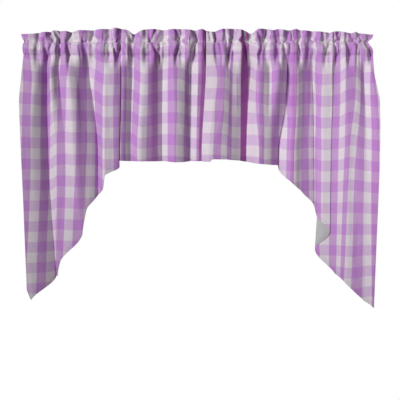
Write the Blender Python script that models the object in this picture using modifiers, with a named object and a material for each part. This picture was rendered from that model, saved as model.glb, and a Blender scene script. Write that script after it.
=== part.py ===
import bpy
from mathutils import Vector

# ---------------------------------------------------------------- sizes (millimetres)
MM = 0.001
CLOTH = 1.5            # cloth thickness
SEAM_Z = -85.5         # lower stitch line of the rod pocket
SEAM_GAP = 1.8         # between the heading strip and the cloth that hangs from it
SEAM_BASE = 13.0       # how far forward that line stands
PINCH_Z = -40.0        # upper stitch line, between the pocket and the ruffle
SHOULDER_Z = -140.0    # folds have opened out to their full depth from here down
MID_Z = -253.0         # heights at which the fold tables give positions
LOW_Z = -426.0
TAIL_Z = -900.0
DEPTH_LOW_Z = -380.0   # heights at which they give depths; below the last they stay
DEPTH_TAIL_Z = -600.0
PANEL_ROWS = 10        # rows of mesh down a panel
PANEL_STEPS = 4        # columns of mesh from one fold line to the next
HEAD_STEPS = 3
END_REACH = 70.0       # how far in from an end the heading draws in
FULLNESS = 0.6         # below 1, gathers have round crests and narrow valleys
KEEN = 1.5             # how sharply a fold drops into the valley on its right
LAZY = 0.5             # and how gently the next one rises out of it

# ---------------------------------------------------------------- fold tables
# One row for each fold line, from left to right.
#   seam, top, mid, low, tail : x of the fold line at the five heights
#   f_top, f_low, f_tail      : how far forward it stands
#   cut                       : height of the hem there
SWAG_LEFT = (
    # seam   top    mid    low   tail  f_top f_low f_tail  cut
    (-605, -610, -622, -620, -614,   28,   28,   20,  -908),   # outer edge
    (-574, -568, -578, -592, -598,   26,   26,   20,  -945),   # crest, and the tip
    (-531, -532, -534, -533, -512,  -12,  -16,  -18,  -863),   # valley
    (-514, -512, -507, -499, -507,   28,   20,   14,  -861),   # crest that dies away
    (-491, -488, -480, -470, -503,    4,   14,   12,  -812),   # valley that dies away
    (-462, -456, -441, -436, -387,   28,   32,   26,  -697),   # crest, edge of a cascade
    (-412, -411, -402, -392, -400,   14,   12,   22,  -614),   # flank
    (-384, -386, -372, -358, -358,  -22,  -14,    6,  -570),   # valley
    (-337, -332, -333, -336, -345,   28,   28,   22,  -545),   # shoulder of the front fold
    (-322, -322, -325, -328, -342,   36,   38,   36,  -500),   # flank
    (-276, -273, -275, -280, -281,   29,   30,   29,  -471),   # sharp front edge
    (-273, -288, -291, -299, -299,   24,   21,   19,  -450),   # tucked under it
    (-264, -266, -268, -274, -274,   20,   17,   15,  -449),   # flank behind
    (-234, -234, -238, -242, -242,   -2,   -2,   -2,  -452),   # valley
    (-184, -186, -194, -207, -207,   22,   20,   20,  -451),   # crest
    (-130, -131, -132, -133, -133,  -18,  -16,  -16,  -453),   # valley
    ( -89,  -89,  -86,  -87,  -87,   28,   24,   24,  -454),   # crest
    ( -52,  -52,  -53,  -57,  -57,   16,   12,   12,  -454),   # shoulder
    ( -33,  -33,  -34,  -35,  -35,  -10,  -10,  -10,  -452),   # valley
    (  -4,   -4,   -7,  -11,  -11,   14,    4,    4,  -452),   # crest
    (  21,   21,   18,   11,   11,   -2,   -3,   -3,  -451),   # inner edge, turned back
)
SWAG_RIGHT = (
    (  22,   22,   15,    6,    6,   20,   14,   12,  -452),   # inner edge, hem in front
    (  62,   69,   51,   33,   33,   30,   31,   31,  -452),   # crest
    (  84,   86,   77,   45,   45,   27,   31,   31,  -443),   # flank
    (  99,  101,   98,   90,   90,   20,   22,   22,  -444),   # flank
    ( 113,  112,  111,  110,  110,   16,   13,   13,  -447),   # flank
    ( 134,  133,  135,  136,  136,   13,   -4,   -4,  -450),   # soft crest that dies away
    ( 168,  171,  168,  164,  164,  -26,  -26,  -26,  -456),   # valley
    ( 202,  201,  203,  205,  205,   32,   30,   30,  -459),   # crest
    ( 234,  239,  235,  226,  226,   15,   24,   24,  -461),   # soft valley that dies away
    ( 262,  267,  261,  256,  260,   27,    8,    6,  -465),   # soft crest that dies away
    ( 299,  302,  297,  274,  272,  -18,  -20,  -20,  -467),   # valley
    ( 308,  312,  309,  279,  276,   -4,  -12,  -14,  -485),   # flank
    ( 330,  330,  331,  325,  324,   28,   28,   28,  -530),   # crest
    ( 353,  354,  355,  352,  362,   12,   12,   14,  -554),   # flank
    ( 387,  388,  394,  400,  408,  -16,  -12,  -12,  -612),   # valley
    ( 403,  402,  405,  409,  412,   10,   22,   22,  -645),   # top of a steep flank
    ( 422,  421,  422,  428,  432,   27,   27,   27,  -668),   # front of the tuck
    ( 453,  453,  455,  454,  456,   26,   24,   24,  -699),   # sharp front edge
    ( 462,  448,  438,  424,  398,   18,   18,   16,  -760),   # tucked under, back shows
    ( 471,  471,  473,  478,  476,   11,   17,   15,  -848),   # flank behind
    ( 503,  503,  508,  515,  517,   27,   28,   28,  -886),   # crest
    ( 534,  534,  533,  527,  541,   23,   26,   26,  -908),   # shoulder
    ( 560,  563,  572,  578,  582,    2,   17,   21,  -948),   # valley that dies away
    ( 583,  589,  607,  616,  611,   22,   24,   24,  -967),   # crest
    ( 593,  597,  620,  624,  618,   22,   24,   24,  -973),   # outer edge, and the tip
)
# One row for each gather of the heading: x and top edge of its crest and of the
# valley to the right of it, and how deep the gather is.
GATHERS_LEFT = (
    # crest  top  valley  top  depth
    (-574, -14, -552, -10, 11),
    (-536,  -8, -516,  -7, 17),
    (-497,  -2, -480,  -5, 17),
    (-461,  -5, -442,  -8, 15),
    (-413,  -2, -370,  -2, 16),
    (-336,   2, -312,   2, 14),
    (-291,   6, -272,   3, 18),
    (-247,  -2, -223, -15, 16),
    (-199,  -2, -175,   2, 16),
    (-156,   2, -125,  -2, 16),
    ( -89,   2,  -65,   2, 17),
    ( -38,   0,  -14,  -2, 17),
    (   7,   2,   21,  -4, 10),
)
GATHERS_RIGHT = (
    (  40,  -7,   55,  -5,  8),
    (  80,   3,  115,   3, 18),
    ( 144,   0,  176, -14, 18),
    ( 202,   3,  226,   3, 17),
    ( 250,  -2,  267,   2, 13),
    ( 284,   0,  307,  -2, 16),
    ( 331,   2,  344,  -2, 13),
    ( 360,  -3,  387,  -5, 16),
    ( 420,  -7,  445, -10, 16),
    ( 459,  -7,  475,  -5, 14),
    ( 497,  -8,  519, -12, 16),
    ( 535,  -8,  548, -12, 14),
    ( 569, -15,  583, -16,  9),
)
# Where each heading starts and ends: x, rise from valley (0) to crest (1), depth, top edge.
LEFT_START = (-611, 0.4, 10, -15)
RIGHT_START = (22, 0.5, 8, -4)
RIGHT_END = (597, 0.6, 9, -17)
# The heading strip in section, from the back up, over the ruffle and down the front.
#   z      : height, the ruffle rows being a share of the way from PINCH_Z to the top
#   base   : how far forward the row stands
#   wave   : share of the gather depth it takes
#   left, right : how far its outer ends draw in
HEAD_BACK = (
    # z     base  wave  left right
    (-84.0,   5.0, 1.0, 6.0,  4.0),
    (-77.0,  -8.0, 0.4, 5.0,  4.5),
    (-63.0, -14.0, 0.2, 4.0,  9.0),
    (-49.0,  -9.0, 0.3, 5.0, 17.0),
    (PINCH_Z, -0.4, 0.8, 8.0, 20.0),
)
HEAD_RUFFLE = (
    # share  base  wave  left  right
    (0.45,  -1.4, 1.0,  1.0,  7.0),
    (0.92,  -1.4, 1.2, -2.0,  3.0),
    (1.00,   1.0, 1.2, -2.0,  2.0),
    (0.92,   3.4, 1.2, -2.0,  3.0),
    (0.45,   3.6, 1.0,  1.0,  7.0),
)
HEAD_FRONT = (
    # z     base  wave  left right
    (PINCH_Z, 2.8, 0.8, 8.0, 20.0),
    (-49.0,  13.0, 0.8, 5.0, 17.0),
    (-63.0,  21.0, 0.9, 4.0,  9.0),
    (-77.0,  18.0, 0.9, 5.0,  4.5),
    (SEAM_Z + SEAM_GAP / 2, SEAM_BASE, 1.0, 6.0, 4.0),
)


# ---------------------------------------------------------------- curves
def glide(xs, ys, x, keen=0.0):
    """Smooth curve through the points that never overshoots them.
    Its valleys are round, or lopsided where keen is above 0."""
    last = len(xs) - 1

    def rise(i):
        return (ys[i + 1] - ys[i]) / (xs[i + 1] - xs[i])

    def slope(i, side):
        before, after = rise(max(i - 1, 0)), rise(min(i, last - 1))
        if before < 0 < after and keen:
            return LAZY * after if side > 0 else keen * before
        if before * after <= 0:
            return 0.0
        return 2 * before * after / (before + after)

    if x <= xs[0]:
        return ys[0]
    if x >= xs[last]:
        return ys[last] + rise(last - 1) * (x - xs[last])
    i = 0
    while x > xs[i + 1]:
        i += 1
    h = xs[i + 1] - xs[i]
    t = (x - xs[i]) / h
    return ((2 * t ** 3 - 3 * t ** 2 + 1) * ys[i]
            + (t ** 3 - 2 * t ** 2 + t) * h * slope(i, 1)
            + (3 * t ** 2 - 2 * t ** 3) * ys[i + 1]
            + (t ** 3 - t ** 2) * h * slope(i + 1, -1))


def straight(ys, at):
    """Straight lines from one value of a list to the next."""
    i = min(int(at), len(ys) - 2)
    return ys[i] + (ys[i + 1] - ys[i]) * (at - i)


def soft(t):
    t = min(max(t, 0.0), 1.0)
    return t * t * (3 - 2 * t)


def gather_curve(gathers, start, end=None):
    """Columns of x, rise, depth and top edge along a heading."""
    points = [start]
    for crest, crest_top, valley, valley_top, depth in gathers:
        points.append((crest, 1.0, depth, crest_top))
        points.append((valley, 0.0, depth, valley_top))
    if end:
        points.append(end)
    return [list(column) for column in zip(*points)]


def swing(curve, x):
    """How far a gather stands forward of the middle of its depth."""
    rise = min(max(glide(curve[0], curve[1], x), 0.0), 1.0)
    return glide(curve[0], curve[2], x) * (rise ** FULLNESS - 0.5)


LEFT_CURVE = gather_curve(GATHERS_LEFT, LEFT_START)
RIGHT_CURVE = gather_curve(GATHERS_RIGHT, RIGHT_START, RIGHT_END)


# ---------------------------------------------------------------- cloth
HEIGHTS = (-SEAM_Z, -SHOULDER_Z, -MID_Z, -LOW_Z, -TAIL_Z)
DEPTH_HEIGHTS = (-SEAM_Z, -SHOULDER_Z, -DEPTH_LOW_Z, -DEPTH_TAIL_Z)


def fold_line(folds, curve, at):
    """x and forward position at each height, and the hem, at a place between fold lines."""
    keys = list(range(len(folds)))
    columns = [list(column) for column in zip(*folds)]
    xs = [glide(keys, column, at) for column in columns[:5]]
    depths = [glide(keys, column, at, KEEN) for column in columns[5:8]]
    return xs, [SEAM_BASE + swing(curve, xs[0])] + depths, straight(columns[8], at)


def panel_point(line, down):
    """Point on a line down a hanging panel: down goes from 0 to 1 at the hem."""
    xs, depths, cut = line
    start = SEAM_Z - SEAM_GAP / 2
    z = start + (cut - start) * down
    forward = glide(DEPTH_HEIGHTS, depths, min(-z, DEPTH_HEIGHTS[-1]))
    return Vector((glide(HEIGHTS, xs, -z), -forward, z)) * MM


def gather_line(curve, at):
    """x, swing and top edge of a heading strip at a place between gather lines."""
    keys = list(range(len(curve[0])))
    x = glide(keys, curve[0], at)
    return x, swing(curve, x), glide(keys, curve[3], at)


def head_point(curve, line, section):
    x, forward, top = line
    kind, height, base, wave, draw_left, draw_right = section
    z = PINCH_Z + (top - PINCH_Z) * height if kind == "ruffle" else height
    first, last = curve[0][0], curve[0][-1]
    if first < -300:
        x += draw_left * soft(1 - (x - first) / END_REACH)
    if last > 300:
        x -= draw_right * soft(1 - (last - x) / END_REACH)
    return Vector((x, -(base + wave * forward), z)) * MM


def sheet(name, columns, rows, place, colour):
    bpy.ops.mesh.primitive_grid_add(x_subdivisions=columns, y_subdivisions=rows, size=1.0)
    cloth = bpy.context.object
    cloth.name = name
    cloth.data.name = name
    for vertex in cloth.data.vertices:
        across = round((vertex.co.x + 0.5) * columns)
        along = round((0.5 - vertex.co.y) * rows)
        vertex.co = place(across, along)
    thick = cloth.modifiers.new("cloth thickness", "SOLIDIFY")
    thick.thickness = CLOTH * MM
    thick.offset = 0.0
    material = bpy.data.materials.new(name + " cloth")
    material.use_nodes = True
    shader = material.node_tree.nodes["Principled BSDF"]
    shader.inputs["Base Color"].default_value = colour
    shader.inputs["Roughness"].default_value = 0.9
    material.diffuse_color = colour
    cloth.data.materials.append(material)
    return cloth


def panel(name, folds, curve, colour):
    columns = (len(folds) - 1) * PANEL_STEPS
    lines = [fold_line(folds, curve, i / PANEL_STEPS) for i in range(columns + 1)]

    def place(across, along):
        return panel_point(lines[across], (along / PANEL_ROWS) ** 1.2)

    return sheet(name, columns, PANEL_ROWS, place, colour)


def heading(name, curve, colour):
    sections = [("plain",) + row for row in HEAD_BACK]
    sections += [("ruffle",) + row for row in HEAD_RUFFLE]
    sections += [("plain",) + row for row in HEAD_FRONT]
    columns = (len(curve[0]) - 1) * HEAD_STEPS
    lines = [gather_line(curve, i / HEAD_STEPS) for i in range(columns + 1)]

    def place(across, along):
        return head_point(curve, lines[across], sections[along])

    return sheet(name, columns, len(sections) - 1, place, colour)


# ---------------------------------------------------------------- build
for old in list(bpy.data.objects):
    bpy.data.objects.remove(old, do_unlink=True)

LILAC = (0.55, 0.36, 0.62, 1.0)
PALE = (0.72, 0.62, 0.76, 1.0)
pieces = [
    heading("heading_left", LEFT_CURVE, PALE),
    panel("swag_left", SWAG_LEFT, LEFT_CURVE, LILAC),
    heading("heading_right", RIGHT_CURVE, PALE),
    panel("swag_right", SWAG_RIGHT, RIGHT_CURVE, LILAC),
]

valance = bpy.data.collections.new("window_valance")
bpy.context.scene.collection.children.link(valance)
for piece in pieces:
    for holder in list(piece.users_collection):
        holder.objects.unlink(piece)
    valance.objects.link(piece)
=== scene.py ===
# %% [markdown]
# # A pair of gathered swags
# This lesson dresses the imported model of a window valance: a left and a right swag of lilac gingham,
# gathered on a rod that doesn't show. The cloth is the whole object, so the work is in its folds, its
# woven check and the light that shows them.

# %% Load the frame
import bpy
import math
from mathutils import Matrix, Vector, noise


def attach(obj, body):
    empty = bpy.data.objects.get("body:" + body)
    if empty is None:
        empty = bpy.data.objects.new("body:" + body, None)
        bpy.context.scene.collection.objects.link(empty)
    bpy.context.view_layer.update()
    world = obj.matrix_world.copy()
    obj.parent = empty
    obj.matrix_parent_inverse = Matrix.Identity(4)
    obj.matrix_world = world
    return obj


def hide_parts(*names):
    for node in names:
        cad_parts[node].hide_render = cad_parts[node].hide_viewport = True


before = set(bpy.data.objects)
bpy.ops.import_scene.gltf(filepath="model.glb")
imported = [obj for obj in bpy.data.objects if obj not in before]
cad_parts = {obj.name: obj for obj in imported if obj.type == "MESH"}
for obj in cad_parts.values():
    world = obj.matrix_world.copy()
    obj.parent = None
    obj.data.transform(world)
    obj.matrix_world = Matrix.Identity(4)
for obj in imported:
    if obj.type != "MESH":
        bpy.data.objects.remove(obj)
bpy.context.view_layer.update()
print("nodes:", sorted(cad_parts))

# %% [markdown]
# ## Sizes of the cloth
# The swags hang from a straight rod pocket, with a ruffle above it. Two lines of stitches bound the
# pocket. Sizes are in millimetres, because that is how a curtain maker writes them, and are turned
# into metres only when a point is placed.

# %% Named sizes
MM = 0.001
CLOTH = 1.2            # thickness of the sheet
SEAM_Z = -85.5         # lower stitch line of the rod pocket
SEAM_BASE = 13.0       # how far forward that line stands
PINCH_Z = -40.0        # upper stitch line, under the ruffle
HEIGHTS = (85.5, 140.0, 253.0, 426.0, 900.0)   # distances down at which x is given
DEPTH_HEIGHTS = (85.5, 140.0, 380.0, 600.0)     # and at which depth is
CHECK = 37.5           # one square of the check
HEM = 18.0             # depth of the turned hem
END_REACH = 70.0       # how far in from an end the heading draws in
OUTER = 300.0          # ends of a heading further out than this are the outer ends of the pair
print("the pocket is", PINCH_Z - SEAM_Z, "mm from one line of stitches to the other")

# %% [markdown]
# ## The folds as a table
# A hanging cloth could be simulated, but a simulation gives folds of its own. Here each fold line is
# one row of a table instead: where it stands at five heights, how far forward it is, and where the
# cut edge crosses it. Two tucks run backwards in x, so the cloth lies over itself there. Some folds,
# most of them beside the tucks, stand up to 11 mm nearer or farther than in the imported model, so that
# each flank takes the light as it should.

# %% Fold tables
SWAG_LEFT = (
    # seam   top    mid    low   tail  f_top f_low f_tail  cut
    (-605, -610, -622, -620, -614,   28,   28,   20,  -908),   # outer edge
    (-574, -568, -578, -592, -598,   26,   26,   20,  -945),   # crest, and the tip
    (-531, -532, -534, -533, -512,  -14,  -16,  -17,  -863),   # valley
    (-514, -512, -507, -499, -507,   27,   13,    7,  -861),   # crest that dies away
    (-491, -488, -480, -470, -503,    4,   14,   12,  -812),   # valley that dies away
    (-462, -456, -441, -436, -387,   28,   32,   26,  -697),   # crest, edge of a cascade
    (-412, -411, -402, -392, -400,    4,   12,   22,  -614),   # flank
    (-384, -386, -372, -358, -358,  -22,  -14,    6,  -570),   # valley
    (-337, -332, -333, -336, -345,   28,   28,   22,  -545),   # shoulder of the front fold
    (-322, -322, -325, -328, -342,   31,   32,   31,  -500),   # flank
    (-276, -273, -275, -280, -281,   22,   22,   21,  -471),   # sharp front edge
    (-273, -288, -291, -299, -299,   15,   13,   12,  -450),   # tucked under it
    (-264, -266, -268, -274, -274,   19,   19,   18,  -449),   # flank behind
    (-234, -234, -238, -242, -242,   -2,   -2,   -2,  -452),   # valley
    (-184, -186, -194, -207, -207,   22,   20,   20,  -451),   # crest
    (-130, -131, -132, -133, -133,  -18,  -16,  -16,  -453),   # valley
    ( -89,  -89,  -86,  -87,  -87,   28,   24,   24,  -454),   # crest
    ( -52,  -52,  -53,  -57,  -57,   16,   12,   12,  -454),   # shoulder
    ( -33,  -33,  -34,  -35,  -35,  -10,  -10,  -10,  -452),   # valley
    (  -4,   -4,   -7,  -11,  -11,   14,    4,    4,  -452),   # crest
    (  21,   21,   18,   11,   11,    9,    3,    3,  -451),   # inner edge, turned back
)
SWAG_RIGHT = (
    (  22,   22,   15,    6,    6,   20,   14,   12,  -452),   # inner edge, hem in front
    (  62,   69,   51,   33,   33,   30,   31,   31,  -452),   # crest
    (  84,   86,   77,   45,   45,   27,   31,   31,  -443),   # flank
    (  99,  101,   98,   90,   90,   20,   22,   22,  -444),   # flank
    ( 113,  112,  111,  110,  110,   16,   13,   13,  -447),   # flank
    ( 134,  133,  135,  136,  136,   13,   -4,   -4,  -450),   # soft crest that dies away
    ( 168,  171,  168,  164,  164,  -26,  -26,  -26,  -456),   # valley
    ( 202,  201,  203,  205,  205,   32,   30,   30,  -459),   # crest
    ( 234,  239,  235,  226,  226,   15,   24,   24,  -461),   # soft valley that dies away
    ( 262,  267,  261,  256,  260,   27,    8,    6,  -465),   # soft crest that dies away
    ( 299,  302,  297,  274,  272,  -18,  -20,  -20,  -467),   # valley
    ( 308,  312,  309,  279,  276,   -4,  -12,  -14,  -485),   # flank
    ( 330,  330,  331,  325,  324,   28,   28,   28,  -530),   # crest
    ( 353,  354,  355,  352,  362,   12,   12,   14,  -554),   # flank
    ( 387,  388,  394,  400,  408,  -17,  -14,  -14,  -612),   # valley
    ( 403,  402,  405,  409,  412,    8,   11,   12,  -645),   # top of a steep flank
    ( 422,  421,  422,  428,  432,   24,   23,   23,  -668),   # front of the tuck
    ( 453,  453,  455,  454,  456,   24,   23,   23,  -699),   # sharp front edge
    ( 462,  448,  438,  424,  398,   19,   17,   14,  -760),   # tucked under, back shows
    ( 471,  471,  473,  478,  476,   16,   23,   22,  -848),   # flank behind
    ( 503,  503,  508,  515,  517,   27,   28,   28,  -886),   # crest
    ( 534,  534,  533,  527,  541,   23,   26,   26,  -908),   # shoulder
    ( 560,  563,  572,  578,  582,    2,   17,   21,  -948),   # valley that dies away
    ( 583,  589,  607,  616,  611,   22,   24,   24,  -967),   # crest
    ( 593,  597,  620,  624,  618,   22,   24,   24,  -973),   # outer edge, and the tip
)
print("fold lines:", len(SWAG_LEFT), "and", len(SWAG_RIGHT))

# %% [markdown]
# ## The gathers of the heading
# Above the folds the cloth is drawn up into smaller gathers. Each row gives a crest and the valley
# to the right of it, the height of the ruffle's edge at both, and the depth of the gather.

# %% Gather tables
GATHERS_LEFT = (
    # crest  top  valley  top  depth
    (-574, -14, -552, -10, 11),
    (-536,  -8, -516,  -7, 17),
    (-497,  -2, -480,  -5, 17),
    (-461,  -5, -442,  -8, 15),
    (-413,  -2, -370,  -2, 16),
    (-336,   2, -312,   2, 14),
    (-291,   6, -272,   3, 18),
    (-247,  -2, -223, -15, 16),
    (-199,  -2, -175,   2, 16),
    (-156,   2, -125,  -2, 16),
    ( -89,   2,  -65,   2, 17),
    ( -38,   0,  -14,  -2, 17),
    (   7,   2,   21,  -4, 10),
)
GATHERS_RIGHT = (
    (  40,  -7,   55,  -5,  8),
    (  80,   3,  115,   3, 18),
    ( 144,   0,  176, -14, 18),
    ( 202,   3,  226,   3, 17),
    ( 250,  -2,  267,   2, 13),
    ( 284,   0,  307,  -2, 16),
    ( 331,   2,  344,  -2, 13),
    ( 360,  -3,  387,  -5, 16),
    ( 420,  -7,  445, -10, 16),
    ( 459,  -7,  475,  -5, 14),
    ( 497,  -8,  519, -12, 16),
    ( 535,  -8,  548, -12, 14),
    ( 569, -15,  583, -16,  9),
)
# Where each heading starts and ends: x, rise from valley (0) to crest (1), depth, top edge.
LEFT_START = (-611, 0.4, 10, -15)
RIGHT_START = (22, 0.5, 8, -4)
RIGHT_END = (597, 0.6, 9, -17)
FULLNESS = 0.6         # below 1, gathers have round crests and narrow valleys
KEEN = 1.5             # how sharply a fold drops into the valley on its right
LAZY = 0.5             # and how gently the next one rises out of it
# The heading strip in section: up the back of the pocket, over the ruffle, down the front.
# Heights of the ruffle rows are shares of the way from the upper stitches to its edge.
HEADING = (
    # kind     height  base  wave  draw in at the left and right end
    ("plain",  -84.0,   5.0, 1.0,  0.0,  0.0),
    ("plain",  -77.0,  -8.0, 0.4, -1.0,  0.5),
    ("plain",  -63.0, -14.0, 0.2, -2.0,  5.0),
    ("plain",  -49.0,  -9.0, 0.3, -1.0, 13.0),
    ("plain",  -40.0,  -0.4, 0.8,  2.0, 16.0),
    ("ruffle",  0.45,  -1.4, 1.0, -5.0,  3.0),
    ("ruffle",  0.92,  -1.4, 1.2, -8.0, -1.0),
    ("ruffle",  1.00,   1.0, 1.2, -8.0, -2.0),
    ("ruffle",  0.92,   3.4, 1.2, -8.0, -1.0),
    ("ruffle",  0.45,   3.6, 1.0, -5.0,  3.0),
    ("plain",  -40.0,   2.8, 0.8,  2.0, 16.0),
    ("plain",  -49.0,  13.0, 0.8, -1.0, 13.0),
    ("plain",  -63.0,  21.0, 0.9, -2.0,  5.0),
    ("plain",  -77.0,  18.0, 0.9, -1.0,  0.5),
    ("plain",  -85.5,  13.0, 1.0,  0.0,  0.0),
)
RUFFLE_TOP = 7         # the row of the section that lies on the ruffle's edge
print("rows in the section of the heading:", len(HEADING))

# %% [markdown]
# ## Where the checks fall
# So each fold line also has a row that says which column of the check lies on it, at four heights,
# and how far its rows are shifted. Both are counted in checks.

# %% Check tables
CHECKS_LEFT = (
    # columns at top, mid, low, tail   row shift at top, low, tail
    (-0.05, -0.45, -0.05,  0.90, -1.61, -1.76, -1.67),
    ( 1.30,  1.14,  0.85,  1.33, -1.78, -1.81, -1.67),
    ( 2.38,  2.45,  2.75,  3.87, -1.93, -1.93, -1.68),
    ( 2.91,  3.27,  3.95,  4.11, -1.40, -1.40, -1.45),
    ( 3.63,  4.35,  4.94,  4.61, -1.20, -1.27, -1.50),
    ( 4.62,  5.50,  5.80,  7.50, -1.22, -1.34, -1.50),
    ( 6.05,  6.58,  7.05,  7.50, -1.41, -1.35, -1.50),
    ( 7.08,  7.70,  8.30,  8.40, -1.33, -1.47, -1.50),
    ( 8.73,  9.02,  9.03,  8.95, -2.00, -1.89, -1.60),
    ( 9.22,  9.33,  9.33,  9.06, -2.03, -1.92, -1.60),
    (10.85, 10.85, 10.75, 10.70, -1.95, -1.82, -1.72),
    (12.21, 12.30, 12.20, 12.20, -1.85, -1.70, -1.70),
    (14.35, 14.30, 14.05, 14.05, -1.29, -1.35, -1.35),
    (15.70, 15.74, 15.91, 15.91, -1.42, -1.41, -1.41),
    (17.79, 17.58, 17.38, 17.38, -1.98, -1.89, -1.89),
    (19.40, 19.40, 19.36, 19.36, -1.60, -1.58, -1.58),
    (20.52, 20.72, 20.81, 20.81, -1.45, -1.53, -1.53),
    (21.97, 21.99, 22.00, 22.00, -1.62, -1.65, -1.65),
    (23.29, 23.19, 23.03, 23.03, -1.99, -1.87, -1.87),
    (24.04, 24.06, 24.04, 24.04, -1.99, -1.94, -1.94),
    (24.92, 25.10, 25.30, 25.30, -1.93, -1.90, -1.90),
)
CHECKS_RIGHT = (
    ( 0.00,  0.00,  0.00,  0.00, -1.30, -1.41, -1.41),
    ( 1.45,  1.00,  0.62,  0.62, -1.28, -1.40, -1.40),
    ( 1.95,  1.78,  0.97,  0.97, -1.28, -1.40, -1.40),
    ( 2.94,  2.85,  2.75,  2.75, -1.52, -1.56, -1.56),
    ( 4.03,  4.00,  4.00,  4.00, -1.93, -1.84, -1.84),
    ( 4.68,  4.76,  4.76,  4.76, -1.98, -1.92, -1.92),
    ( 6.16,  6.06,  6.06,  6.06, -1.31, -1.63, -1.63),
    ( 7.19,  7.37,  7.00,  7.00, -1.77, -1.60, -1.60),
    ( 8.75,  8.64,  8.20,  8.20, -1.87, -1.88, -1.88),
    ( 9.63,  9.50,  9.25,  9.30, -1.66, -1.78, -1.78),
    (11.05, 10.92,  9.85,  9.70, -1.75, -1.78, -1.78),
    (11.33, 11.28, 10.05,  9.90, -2.02, -1.95, -1.95),
    (11.85, 11.90, 11.93, 11.93, -1.98, -1.97, -1.97),
    (13.10, 13.08, 12.98, 12.98, -1.69, -1.84, -1.91),
    (14.16, 14.39, 14.80, 14.53, -1.68, -1.79, -1.91),
    (15.30, 15.15, 15.28, 15.20, -1.95, -1.88, -1.91),
    (16.03, 16.14, 16.27, 16.23, -2.04, -2.00, -1.91),
    (16.89, 16.96, 17.03, 17.00, -1.99, -2.00, -1.90),
    (18.65, 18.07, 18.23, 17.30, -1.99, -1.95, -1.91),
    (19.32, 19.46, 19.90, 19.80, -1.92, -1.90, -1.91),
    (21.11, 21.27, 21.78, 22.35, -1.44, -1.55, -1.90),
    (21.90, 21.97, 22.48, 23.05, -1.29, -1.52, -1.90),
    (23.62, 24.09, 24.27, 24.20, -1.88, -1.93, -1.91),
    (25.00, 25.72, 25.80, 25.25, -1.83, -2.09, -1.93),
    (25.70, 26.20, 26.05, 25.48, -1.77, -2.09, -1.95),
)
# Stripes of painted shade: a darker magenta on the warp in some fold valleys and shaded flanks,
# standing for shade and the redder light that bounces between folds. Middle, half width, and how much.
SHADE_STRIPES_LEFT = ((18.65, 0.12, 0.4), (24.85, 0.35, 0.75))
SHADE_STRIPES_RIGHT = ((6.5, 0.45, 0.85), (12.85, 0.2, 0.4), (26.6, 0.5, 0.15))
SHADE_STRIPE_EDGE = 4.0         # how quickly such a stripe ends, for each check
COLUMN_HEIGHTS = (109.5, 232.0, 426.0, 800.0)   # distances down at which columns are given
ROW_HEIGHTS = (166.0, 341.0, 690.0)             # and row shifts
print("checks across:", CHECKS_LEFT[-1][2], "and", CHECKS_RIGHT[-1][1])

# %% [markdown]
# ## A curve that never overshoots
# Between two rows of a table the cloth should flow, with no bulge that neither row asks for. This is
# a cubic through the points, level at each crest. A valley is level too, unless it is asked to be
# lopsided. The folds ask for that: their cloth drops sharply into a valley and rises gently from it.

# %% Curve helpers
def glide(xs, ys, x, keen=0.0):
    """Smooth curve through the points that never overshoots them.
    Its valleys are round, or lopsided where keen is above 0."""
    last = len(xs) - 1

    def rise(i):
        return (ys[i + 1] - ys[i]) / (xs[i + 1] - xs[i])

    def slope(i, side):
        before, after = rise(max(i - 1, 0)), rise(min(i, last - 1))
        if before < 0 < after and keen:
            return LAZY * after if side > 0 else keen * before
        if before * after <= 0:
            return 0.0
        return 2 * before * after / (before + after)

    if x <= xs[0]:
        return ys[0]
    if x >= xs[last]:
        return ys[last] + rise(last - 1) * (x - xs[last])
    i = 0
    while x > xs[i + 1]:
        i += 1
    width = xs[i + 1] - xs[i]
    t = (x - xs[i]) / width
    return ((2 * t ** 3 - 3 * t ** 2 + 1) * ys[i]
            + (t ** 3 - 2 * t ** 2 + t) * width * slope(i, 1)
            + (3 * t ** 2 - 2 * t ** 3) * ys[i + 1]
            + (t ** 3 - t ** 2) * width * slope(i + 1, -1))


def soft(t):
    """Ease from 0 to 1 while t goes from 0 to 1."""
    t = min(max(t, 0.0), 1.0)
    return t * t * (3 - 2 * t)


def straight(ys, at):
    """Straight lines from one value of a list to the next."""
    i = min(int(at), len(ys) - 2)
    return ys[i] + (ys[i + 1] - ys[i]) * (at - i)


def gather_curve(gathers, start, end=None):
    """Columns of x, rise, depth and top edge along a heading."""
    points = [start]
    for crest, crest_top, valley, valley_top, depth in gathers:
        points.append((crest, 1.0, depth, crest_top))
        points.append((valley, 0.0, depth, valley_top))
    if end:
        points.append(end)
    return [list(column) for column in zip(*points)]


def swing(curve, x):
    """How far a gather stands forward of the middle of its depth."""
    rise = min(max(glide(curve[0], curve[1], x), 0.0), 1.0)
    return glide(curve[0], curve[2], x) * (rise ** FULLNESS - 0.5)


LEFT_CURVE = gather_curve(GATHERS_LEFT, LEFT_START)
RIGHT_CURVE = gather_curve(GATHERS_RIGHT, RIGHT_START, RIGHT_END)
print("points along the headings:", len(LEFT_CURVE[0]), "and", len(RIGHT_CURVE[0]))

# %% [markdown]
# ## Creases of the heading
# Gathered on a thread, the cloth also falls into narrow creases that slant across the stitches, so
# their lines cross. Each row below is one crease: its place at the top edge, at the upper and at the
# lower stitches, its half width, and how deep it cuts above and below the upper stitches. A negative
# depth makes a ridge.

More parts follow.
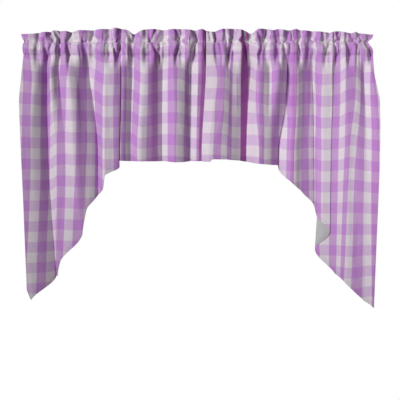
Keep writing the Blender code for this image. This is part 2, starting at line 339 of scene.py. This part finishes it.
# %% Crease tables
CREASES_LEFT = (
    # top   upper lower  half above below
    (-554, -557, -561,   8,   4,   3),
    (-544, -533, -527,   9,   3,   8),
    (-516, -503, -500,   7,   7,   0),
    (-499, -482, -487,   7,   7,   7),
    (-441, -455, -451,   6,   7,   7),
    (-431, -414, -410,   5,   4,   1),
    (-397, -397, -393,  12,   0,   7),
    (-362, -376, -383,   6,   5,   0),
    (-301, -297, -287,   6,   5,   7),
    (-267, -273, -280,   6,   2,   7),
    (-250, -236, -236,  10,   6,   8),
    (-226, -229, -229,   5,   6,   0),
    (-188, -191, -188,   8,   4,   3),
    (-150, -164, -144,   8,   8,   8),
    (-130, -137, -140,   6,   0,   6),
    ( -82,  -68,  -82,   7,   5,   6),
    ( -24,   -7,   -7,   7,   7,   0),
    ( -27,  -14,  -24,   9,   0,   8),
)
CREASES_RIGHT = (
    (  31,   38,   44,   5,   4,   0),
    (  48,   55,   55,   6,   7,   0),
    (  75,   68,   75,   6,   0,   4),
    (  86,   89,   96,   8,   5,   4),
    ( 120,  109,   97,   7,   4,   8),
    ( 133,  116,  110,   6,   6,   0),
    ( 150,  154,  157,   8,   8,   9),
    ( 171,  168,  168,   6,   4,   5),
    ( 195,  215,  205,   7,   6,   6),
    ( 229,  219,  215,   7,   6,   0),
    ( 256,  263,  260,   6,   3,   3),
    ( 298,  287,  291,   9,   4,   8),
    ( 315,  321,  332,   6,   7,   0),
    ( 335,  338,  338,   5,   2,   5),
    ( 380,  373,  369,  11,   3,   7),
    ( 421,  424,  431,   7,   7,   3),
    ( 458,  445,  427,   7,  -3,   4),
    ( 455,  462,  465,   6,   4,   9),
    ( 486,  482,  492,   5,   5,   0),
    ( 499,  503,  510,   8,   5,   7),
    ( 544,  537,  537,   6,   2,   5),
    ( 578,  571,  585,   8,   2,   6),
)
CREASE = 1.8           # strength of the slanting creases
NARROW = 0.8           # share of its half width at which a crease has died to about a third
CREASE_END = 2.5       # how many of those it reaches at all
FADE = 55.0            # how far below the pocket the creases die away
BLEND = 12.0           # height over which a crease changes depth at the upper stitches
BEHIND = 0.5           # how much shallower creases are behind the ruffle and the pocket
print("creases:", len(CREASES_LEFT), "and", len(CREASES_RIGHT))


def crease_depth(creases, x, z):
    """How far the creases of the heading cut in at a point."""
    if z < SEAM_Z - FADE:
        return 0.0
    total = 0.0
    for top, upper, lower, half, above, below in creases:
        if z > PINCH_Z:
            middle = top + (upper - top) * (z / PINCH_Z)
        else:
            middle = upper + (lower - upper) * min((z - PINCH_Z) / (SEAM_Z - PINCH_Z), 1.0)
        away = (x - middle) / (NARROW * half)
        if abs(away) < CREASE_END:
            depth = below + (above - below) * soft((z - PINCH_Z) / BLEND + 0.5)
            total += depth * math.exp(-away * away)
    return total * soft((z - SEAM_Z + FADE) / FADE)


# %% [markdown]
# ## Folds of chance
# Real cloth is never even. Noise gives it small folds, and the noise is stretched along the hang,
# because that is how folds run. Along the stitches the thread draws the cloth into tight puckers and
# pulls the gathers a little sideways. Each has its own depth, and its own size across and down.

# %% Chance folds, puckers and sway
BROAD = (34, 260)      # size of the broad folds across and down
BROAD_DEPTH = 2.2
FINE = (13, 90)        # and of the fine ones
FINE_DEPTH = 0.7
FOLD_START = 60        # distance below the pocket over which they set in
PUCKER = 6.0           # depth of the tight folds along the stitches
PUCKER_SIZE = (7, 40)
PUCKER_UPPER = 14      # distance in which they die away from the upper stitches
PUCKER_LOWER = 12      # and from the lower ones
LOWER_SHARE = 0.5      # depth of the puckers at the lower stitches, beside the upper ones
SWAY = 19.0            # how far the gathers lean sideways at the ruffle's stitches
SWAY_BROAD = (36, 22)
SWAY_FINE = (14, 14)
SWAY_FINE_SHARE = 0.3  # how much of the lean the fine noise adds
SWAY_REACH = 20        # distance in which the lean dies away
SWAY_ENDS = 45         # distance from an end over which it sets in


def chance(x, z, size, layer):
    """Noise with lumps of one size. Each layer has its own."""
    return noise.noise(Vector((x / size[0], z / size[1], layer)))


def folds_of_chance(x, z, seed):
    """Small folds, longer than they are wide, in millimetres forward."""
    return BROAD_DEPTH * chance(x, z, BROAD, seed) + FINE_DEPTH * chance(x, z, FINE, seed + 7)


def puckers(x, z, seed):
    """Tight little folds along a line of stitches."""
    near = (math.exp(-abs(z - PINCH_Z) / PUCKER_UPPER)
            + LOWER_SHARE * math.exp(-abs(z - SEAM_Z) / PUCKER_LOWER))
    return PUCKER * near * chance(x, z, PUCKER_SIZE, seed + 3)


def sway(x, z, seed, first, last):
    """How far the gathers lean sideways where the thread draws them up."""
    near = (math.exp(-abs(z - PINCH_Z) / SWAY_REACH)
            * soft((x - first) / SWAY_ENDS) * soft((last - x) / SWAY_ENDS))
    broad = chance(x, z, SWAY_BROAD, seed + 11)
    fine = chance(x, z, SWAY_FINE, seed + 17)
    return near * (SWAY * broad + SWAY_FINE_SHARE * SWAY * fine)


print("a pucker, a chance fold and a sway:", round(puckers(0, PINCH_Z, 1.0), 2),
      round(folds_of_chance(0, SEAM_Z, 1.0), 2), round(sway(0, PINCH_Z, 1.0, -OUTER, OUTER), 2))

# %% [markdown]
# ## One line down the cloth
# Each column of the sheet starts at the turned edge behind the pocket, runs up the back, over the
# ruffle, down the front and on down the folds to the hem. At each point it gives the place and the
# two check coordinates. The rows of checks run on over the ruffle's edge and down the back, as on
# real cloth that is folded over.

# %% Column of cloth
HEAD_ROWS = 80
PANEL_ROWS = 62
CROWDING = 1.1         # above 1, the rows of the panel stand closer near the pocket


def cloth_column(folds, checks, curve, creases, at, seed):
    """Points with check coordinates, and the height of the cut, at a place between fold lines."""
    keys = list(range(len(folds)))
    columns = [list(column) for column in zip(*folds)]
    xs = [glide(keys, column, at) for column in columns[:5]]
    depths = [glide(keys, column, at, KEEN) for column in columns[5:8]]
    seam = xs[0]
    cut = straight(columns[8], at)
    print_row = [glide(keys, column, at) for column in zip(*checks)]
    forward = swing(curve, seam)
    edge = glide(curve[0], curve[3], seam)
    first, last = curve[0][0], curve[0][-1]
    points = []

    def shift(z):
        return glide(ROW_HEIGHTS, print_row[4:], -z)

    def add(x, f, z, v):
        u = glide(COLUMN_HEIGHTS, print_row[:4], -z)
        points.append((Vector((x, -f, z)) * MM, u, v))

    def front_v(z):
        return -z / CHECK + shift(z)

    section = []
    for kind, height, base, wave, draw_left, draw_right in HEADING:
        z = PINCH_Z + (edge - PINCH_Z) * height if kind == "ruffle" else height
        section.append((z, base + wave * forward, draw_left, draw_right))
    stations = list(range(len(section)))
    for row in range(HEAD_ROWS):
        s = row / HEAD_ROWS * (len(section) - 1)
        z, f, draw_left, draw_right = [glide(stations, column, s) for column in zip(*section)]
        x = seam
        if first < -OUTER:
            x += draw_left * soft(1 - (x - first) / END_REACH)
        if last > OUTER:
            x -= draw_right * soft(1 - (last - x) / END_REACH)
        x += sway(x, z, seed, first, last)
        behind = 1 - BEHIND * soft(RUFFLE_TOP - s)
        f += puckers(x, z, seed) - CREASE * behind * crease_depth(creases, x, z)
        v = front_v(z)
        if s < RUFFLE_TOP:
            v = 2 * front_v(edge) - v
        add(x, f, z, v)
    for row in range(PANEL_ROWS + 1):
        down = (row / PANEL_ROWS) ** CROWDING
        z = SEAM_Z + (cut - SEAM_Z) * down
        x = glide(HEIGHTS, xs, -z)
        f = glide(DEPTH_HEIGHTS, [SEAM_BASE + forward] + depths, min(-z, DEPTH_HEIGHTS[-1]))
        f += folds_of_chance(x, z, seed) * soft((SEAM_Z - z) / FOLD_START)
        x += sway(x, z, seed, first, last)
        f += puckers(x, z, seed) - CREASE * crease_depth(creases, x, z)
        add(x, f, z, front_v(z))
    return points, cut


# %% [markdown]
# ## The sheet
# The sheet starts as a grid, as an artist would add it. Its vertices are then set on the columns of
# cloth, a UV map takes the check coordinates, and two attributes hold the distance to the cut edge
# and the painted shade of some warp stripes in the folds. Steps is the number of columns from one fold
# line to the next.

# %% Sheet builder
NO_HEM = 500.0         # stands for a distance to the cut edge where none is near


def hang_swag(name, folds, checks, curve, creases, shade_stripes, steps, seed, first_column):
    """A sheet of cloth, one face thick, hung in its folds."""
    columns = (len(folds) - 1) * steps
    rows = HEAD_ROWS + PANEL_ROWS
    bpy.ops.object.select_all(action="DESELECT")
    bpy.ops.mesh.primitive_grid_add(x_subdivisions=columns, y_subdivisions=rows, size=1.0)
    cloth = bpy.context.object
    cloth.name = name
    mesh = cloth.data
    lines = [cloth_column(folds, checks, curve, creases, i / steps, seed)
             for i in range(columns + 1)]
    spots = []
    for vertex in mesh.vertices:
        across = round((vertex.co.x + 0.5) * columns)
        along = round((0.5 - vertex.co.y) * rows)
        spots.append((across, along))
        vertex.co = lines[across][0][along][0]
    uv = mesh.uv_layers[0]
    uv.name = "check"
    for loop in mesh.loops:
        across, along = spots[loop.vertex_index]
        _, u, v = lines[across][0][along]
        uv.data[loop.index].uv = (u + first_column, v)
    hem = mesh.attributes.new("to_hem", "FLOAT", "POINT")
    # Painted shade: how much darker magenta each point of a warp stripe in the folds gets.
    fold_shade_layer = mesh.attributes.new("painted_fold_shade", "FLOAT", "POINT")
    for i, (across, along) in enumerate(spots):
        points, cut = lines[across]
        column = points[along][1] + first_column
        fold_shade_layer.data[i].value = sum(much * soft(1 + SHADE_STRIPE_EDGE * (half - abs(column - middle)))
                                for middle, half, much in shade_stripes)
        hem.data[i].value = points[along][0].z / MM - cut if along > HEAD_ROWS else NO_HEM
    return cloth


left = hang_swag("left_swag_cloth", SWAG_LEFT, CHECKS_LEFT, LEFT_CURVE,
                 CREASES_LEFT, SHADE_STRIPES_LEFT, steps=16, seed=1.0, first_column=0)
right = hang_swag("right_swag_cloth", SWAG_RIGHT, CHECKS_RIGHT, RIGHT_CURVE,
                  CREASES_RIGHT, SHADE_STRIPES_RIGHT, steps=13, seed=5.0, first_column=1)
for cloth in (left, right):
    print(cloth.name, len(cloth.data.vertices), "vertices")

# %% [markdown]
# ## Gingham
# Gingham has dyed and undyed threads both ways, so it has three tones: white, half tone where only
# one set is dyed, and full where both are. Here the warp stripes are the stronger. A wave that is
# positive on every other check, sharpened and clamped, gives each set of stripes.

# %% Node helpers
def calc(tree, operation, *values, clamp=False):
    """A Math node. Its inputs are numbers or sockets."""
    node = tree.nodes.new("ShaderNodeMath")
    node.operation = operation
    node.use_clamp = clamp
    for socket, value in zip(node.inputs, values):
        if isinstance(value, (int, float)):
            socket.default_value = value
        else:
            tree.links.new(value, socket)
    return node.outputs[0]


def blend(tree, factor, a, b, mode="MIX"):
    """A Mix node for colours."""
    node = tree.nodes.new("ShaderNodeMix")
    node.data_type = "RGBA"
    node.blend_type = mode
    for socket, value in ((node.inputs[0], factor), (node.inputs[6], a), (node.inputs[7], b)):
        if isinstance(value, (int, float, tuple)):
            socket.default_value = value
        else:
            tree.links.new(value, socket)
    return node.outputs[2]


def attribute(tree, name):
    """A number kept on the points of the mesh."""
    node = tree.nodes.new("ShaderNodeAttribute")
    node.attribute_name = name
    return node.outputs["Fac"]


def stripes(tree, coordinate, sharpness):
    """1 on every other check and 0 between, with edges as sharp as asked."""
    wave = calc(tree, "SINE", calc(tree, "MULTIPLY", coordinate, math.pi))
    return calc(tree, "MULTIPLY_ADD", wave, sharpness, 0.5, clamp=True)


def grain(tree, u, v, across, along, detail=3.0):
    """Noise stretched by different scales across and along the cloth."""
    join = tree.nodes.new("ShaderNodeCombineXYZ")
    tree.links.new(calc(tree, "MULTIPLY", u, across), join.inputs[0])
    tree.links.new(calc(tree, "MULTIPLY", v, along), join.inputs[1])
    tex = tree.nodes.new("ShaderNodeTexNoise")
    tex.inputs["Scale"].default_value = 1.0
    tex.inputs["Detail"].default_value = detail
    tree.links.new(join.outputs[0], tex.inputs["Vector"])
    return tex.outputs["Fac"]


# %% [markdown]
# ## The dyed cloth and its reverse
# The stripes run in the UV map, so they follow the cloth round every fold. Their edges waver a little,
# and thicker threads, or slubs, make each stripe uneven. A hem has two layers, so less light comes
# through and it looks darker. Warp stripes in some folds carry painted shade, a darker magenta.
# The reverse is almost plain, with a trace of the check.

# %% Gingham and its reverse
WAVER = 0.05           # how far the stripes' edges wander, in checks
EDGE = 5.0             # how sharply one stripe meets the next
SLUB = 0.22            # how much the slubs change the tone
HEM_SHADE = 0.07       # how much darker the hem is
TRACE = 0.08           # how much of the check shows on the reverse
THREAD_DEPTH = 0.0006  # metres
WHITE = (0.71, 0.63, 0.70, 1.0)
WARP_LILAC = (0.54, 0.325, 0.59, 1.0)
WEFT_LILAC = (0.63, 0.46, 0.665, 1.0)
PURPLE = (0.50, 0.235, 0.585, 1.0)
# Painted shade: the darker magenta laid on warp stripes in some folds.
SHADE_MAGENTA = (0.31, 0.05, 0.29, 1.0)
REVERSE = (0.47, 0.47, 0.465, 1.0)


def cloth_material(name, reverse):
    """Woven gingham, or its almost plain reverse."""
    material = bpy.data.materials.new(name)
    material.use_nodes = True
    tree = material.node_tree
    shader = tree.nodes["Principled BSDF"]
    shader.inputs["Roughness"].default_value = 0.92
    shader.inputs["Specular IOR Level"].default_value = 0.2
    shader.inputs["Sheen Weight"].default_value = 0.15
    uv = tree.nodes.new("ShaderNodeUVMap")
    uv.uv_map = "check"
    split = tree.nodes.new("ShaderNodeSeparateXYZ")
    tree.links.new(uv.outputs[0], split.inputs[0])
    u, v = split.outputs[0], split.outputs[1]
    wander_u = calc(tree, "MULTIPLY_ADD", grain(tree, u, v, 0.9, 3.0), WAVER, u)
    wander_v = calc(tree, "MULTIPLY_ADD", grain(tree, u, v, 3.0, 0.9), WAVER, v)
    warp = stripes(tree, wander_u, EDGE)
    weft = stripes(tree, wander_v, EDGE)
    white_row = blend(tree, warp, WHITE, WARP_LILAC)
    dyed_row = blend(tree, warp, WEFT_LILAC, PURPLE)
    colour = blend(tree, weft, white_row, dyed_row)
    # Painted shade: these warp stripes turn a darker magenta in some folds.
    shade_stripes = calc(tree, "MULTIPLY", attribute(tree, "painted_fold_shade"), warp)
    colour = blend(tree, shade_stripes, colour, SHADE_MAGENTA)
    if reverse:
        colour = blend(tree, TRACE, REVERSE, colour)
    slub = calc(tree, "ADD", grain(tree, u, v, 34, 1.5), grain(tree, u, v, 1.5, 34))
    tone = calc(tree, "MULTIPLY_ADD", slub, SLUB, 1 - SLUB)
    hem_band = calc(tree, "LESS_THAN", attribute(tree, "to_hem"), HEM)
    tone = calc(tree, "MULTIPLY", tone, calc(tree, "MULTIPLY_ADD", hem_band, -HEM_SHADE, 1.0))
    shade = tree.nodes.new("ShaderNodeCombineColor")
    for socket in shade.inputs:
        tree.links.new(tone, socket)
    colour = blend(tree, 1.0, colour, shade.outputs[0], "MULTIPLY")
    tree.links.new(colour, shader.inputs["Base Color"])
    threads = calc(tree, "ADD", grain(tree, u, v, 60, 6), grain(tree, u, v, 6, 60))
    bump = tree.nodes.new("ShaderNodeBump")
    bump.inputs["Strength"].default_value = 0.25
    bump.inputs["Distance"].default_value = THREAD_DEPTH
    tree.links.new(threads, bump.inputs["Height"])
    tree.links.new(bump.outputs[0], shader.inputs["Normal"])
    return material


GINGHAM = cloth_material("lilac gingham", reverse=False)
BACK = cloth_material("gingham reverse", reverse=True)
print("finishes:", GINGHAM.name, "and", BACK.name)

# %% [markdown]
# ## Thickness and finish
# A sheet with no thickness has no edge to catch the light. Solidify gives it one, on both sides of
# where it was, and puts the second material on its other face. Shading is smooth, but for edges
# sharper than 60 degrees.

# %% Thickness and finish
for cloth in (left, right):
    cloth.data.materials.append(GINGHAM)
    cloth.data.materials.append(BACK)
    thick = cloth.modifiers.new("cloth thickness", "SOLIDIFY")
    thick.thickness = CLOTH * MM
    thick.offset = 0.0
    thick.material_offset = 1
    bpy.ops.object.select_all(action="DESELECT")
    cloth.select_set(True)
    bpy.context.view_layer.objects.active = cloth
    bpy.ops.object.modifier_apply(modifier=thick.name)
    bpy.ops.object.shade_smooth_by_angle(angle=math.radians(60))
    triangles = sum(len(face.vertices) - 2 for face in cloth.data.polygons)
    print(cloth.name, triangles, "triangles")

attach(left, "root")
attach(right, "root")
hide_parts("heading_left", "swag_left")
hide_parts("heading_right", "swag_right")

# %% [markdown]
# ## Floor and light
# The swags hang at a window's height over a plain floor. The key is a large soft lamp on the left and
# in front, so the left flank of each fold is bright and the right one is in shade. A small lamp lifts
# the right end, and one behind shows the reverse when the swags are seen from there.

# %% Floor and light
FLOOR_DROP = 1.9       # metres below the top of the heading
FLOOR_SIZE = 2.8
bpy.ops.object.select_all(action="DESELECT")
bpy.ops.mesh.primitive_plane_add(size=FLOOR_SIZE, location=(0, 0, -FLOOR_DROP))
floor = bpy.context.object
floor.name = "studio_floor"
paint = bpy.data.materials.new("pale floor")
paint.use_nodes = True
paint.node_tree.nodes["Principled BSDF"].inputs["Base Color"].default_value = (0.85, 0.85, 0.85, 1)
floor.data.materials.append(paint)


def soft_light(name, place, target, size, watts, spread):
    """A rectangular lamp that points at its target."""
    lamp = bpy.data.lights.new(name, "AREA")
    lamp.shape = "RECTANGLE"
    lamp.size, lamp.size_y = size
    lamp.energy = watts
    lamp.spread = math.radians(spread)
    holder = bpy.data.objects.new(name, lamp)
    holder.location = place
    holder.rotation_euler = (Vector(target) - Vector(place)).to_track_quat("-Z", "Y").to_euler()
    bpy.context.scene.collection.objects.link(holder)


LAMPS = (
    # name    place             target            size       watts spread
    ("key",  (-2.4, -2.8, 0.9), (0.7, 0.0, -0.4), (1.4, 1.0), 26, 72),
    ("end",  (1.5, -2.2, 0.1), (0.75, 0.0, -0.5), (0.4, 0.4), 1.1, 40),
    ("back", (-0.9, 3.0, 0.9), (0.1, 0.0, -0.4), (1.6, 1.2), 16, 90),
)
for lamp_row in LAMPS:
    soft_light(*lamp_row)
print("lamps:", len(LAMPS))

# %% [markdown]
# ## A white surround
# The camera should see plain white behind the swags, but so much light from all sides would wash the
# folds out. A Light Path node tells the two apart: full white where the camera looks, and a faint
# glow everywhere else.

# %% Surround
GLOW = 0.05
world = bpy.context.scene.world or bpy.data.worlds.new("studio")
bpy.context.scene.world = world
world.use_nodes = True
tree = world.node_tree
background = tree.nodes["Background"]
background.inputs["Color"].default_value = (1, 1, 1, 1)
background.inputs["Strength"].default_value = GLOW
seen = tree.nodes.new("ShaderNodeBackground")
seen.inputs["Color"].default_value = (1, 1, 1, 1)
seen.inputs["Strength"].default_value = 1.0
path = tree.nodes.new("ShaderNodeLightPath")
mix = tree.nodes.new("ShaderNodeMixShader")
tree.links.new(path.outputs["Is Camera Ray"], mix.inputs[0])
tree.links.new(background.outputs[0], mix.inputs[1])
tree.links.new(seen.outputs[0], mix.inputs[2])
tree.links.new(mix.outputs[0], tree.nodes["World Output"].inputs[0])
bpy.context.scene.view_settings.view_transform = "Standard"

# %% [markdown]
# ## Camera
# It stands straight in front, about 3 m away, and looks slightly down, so the tails look a little
# smaller towards their tips.

# %% Camera
CAMERA_DISTANCE = 3.012
CAMERA_HEIGHT = -0.203
CAMERA_PITCH = math.radians(7.3)
CAMERA_LENS = 77.67    # millimetres, on a sensor 36 mm wide
camera_data = bpy.data.cameras.new("camera")
camera_data.lens = CAMERA_LENS
camera_data.sensor_width = 36.0
camera = bpy.data.objects.new("camera", camera_data)
camera.location = (0.0, -CAMERA_DISTANCE, CAMERA_HEIGHT)
camera.rotation_euler = (math.radians(90) - CAMERA_PITCH, 0.0, 0.0)
bpy.context.scene.collection.objects.link(camera)
bpy.context.scene.camera = camera
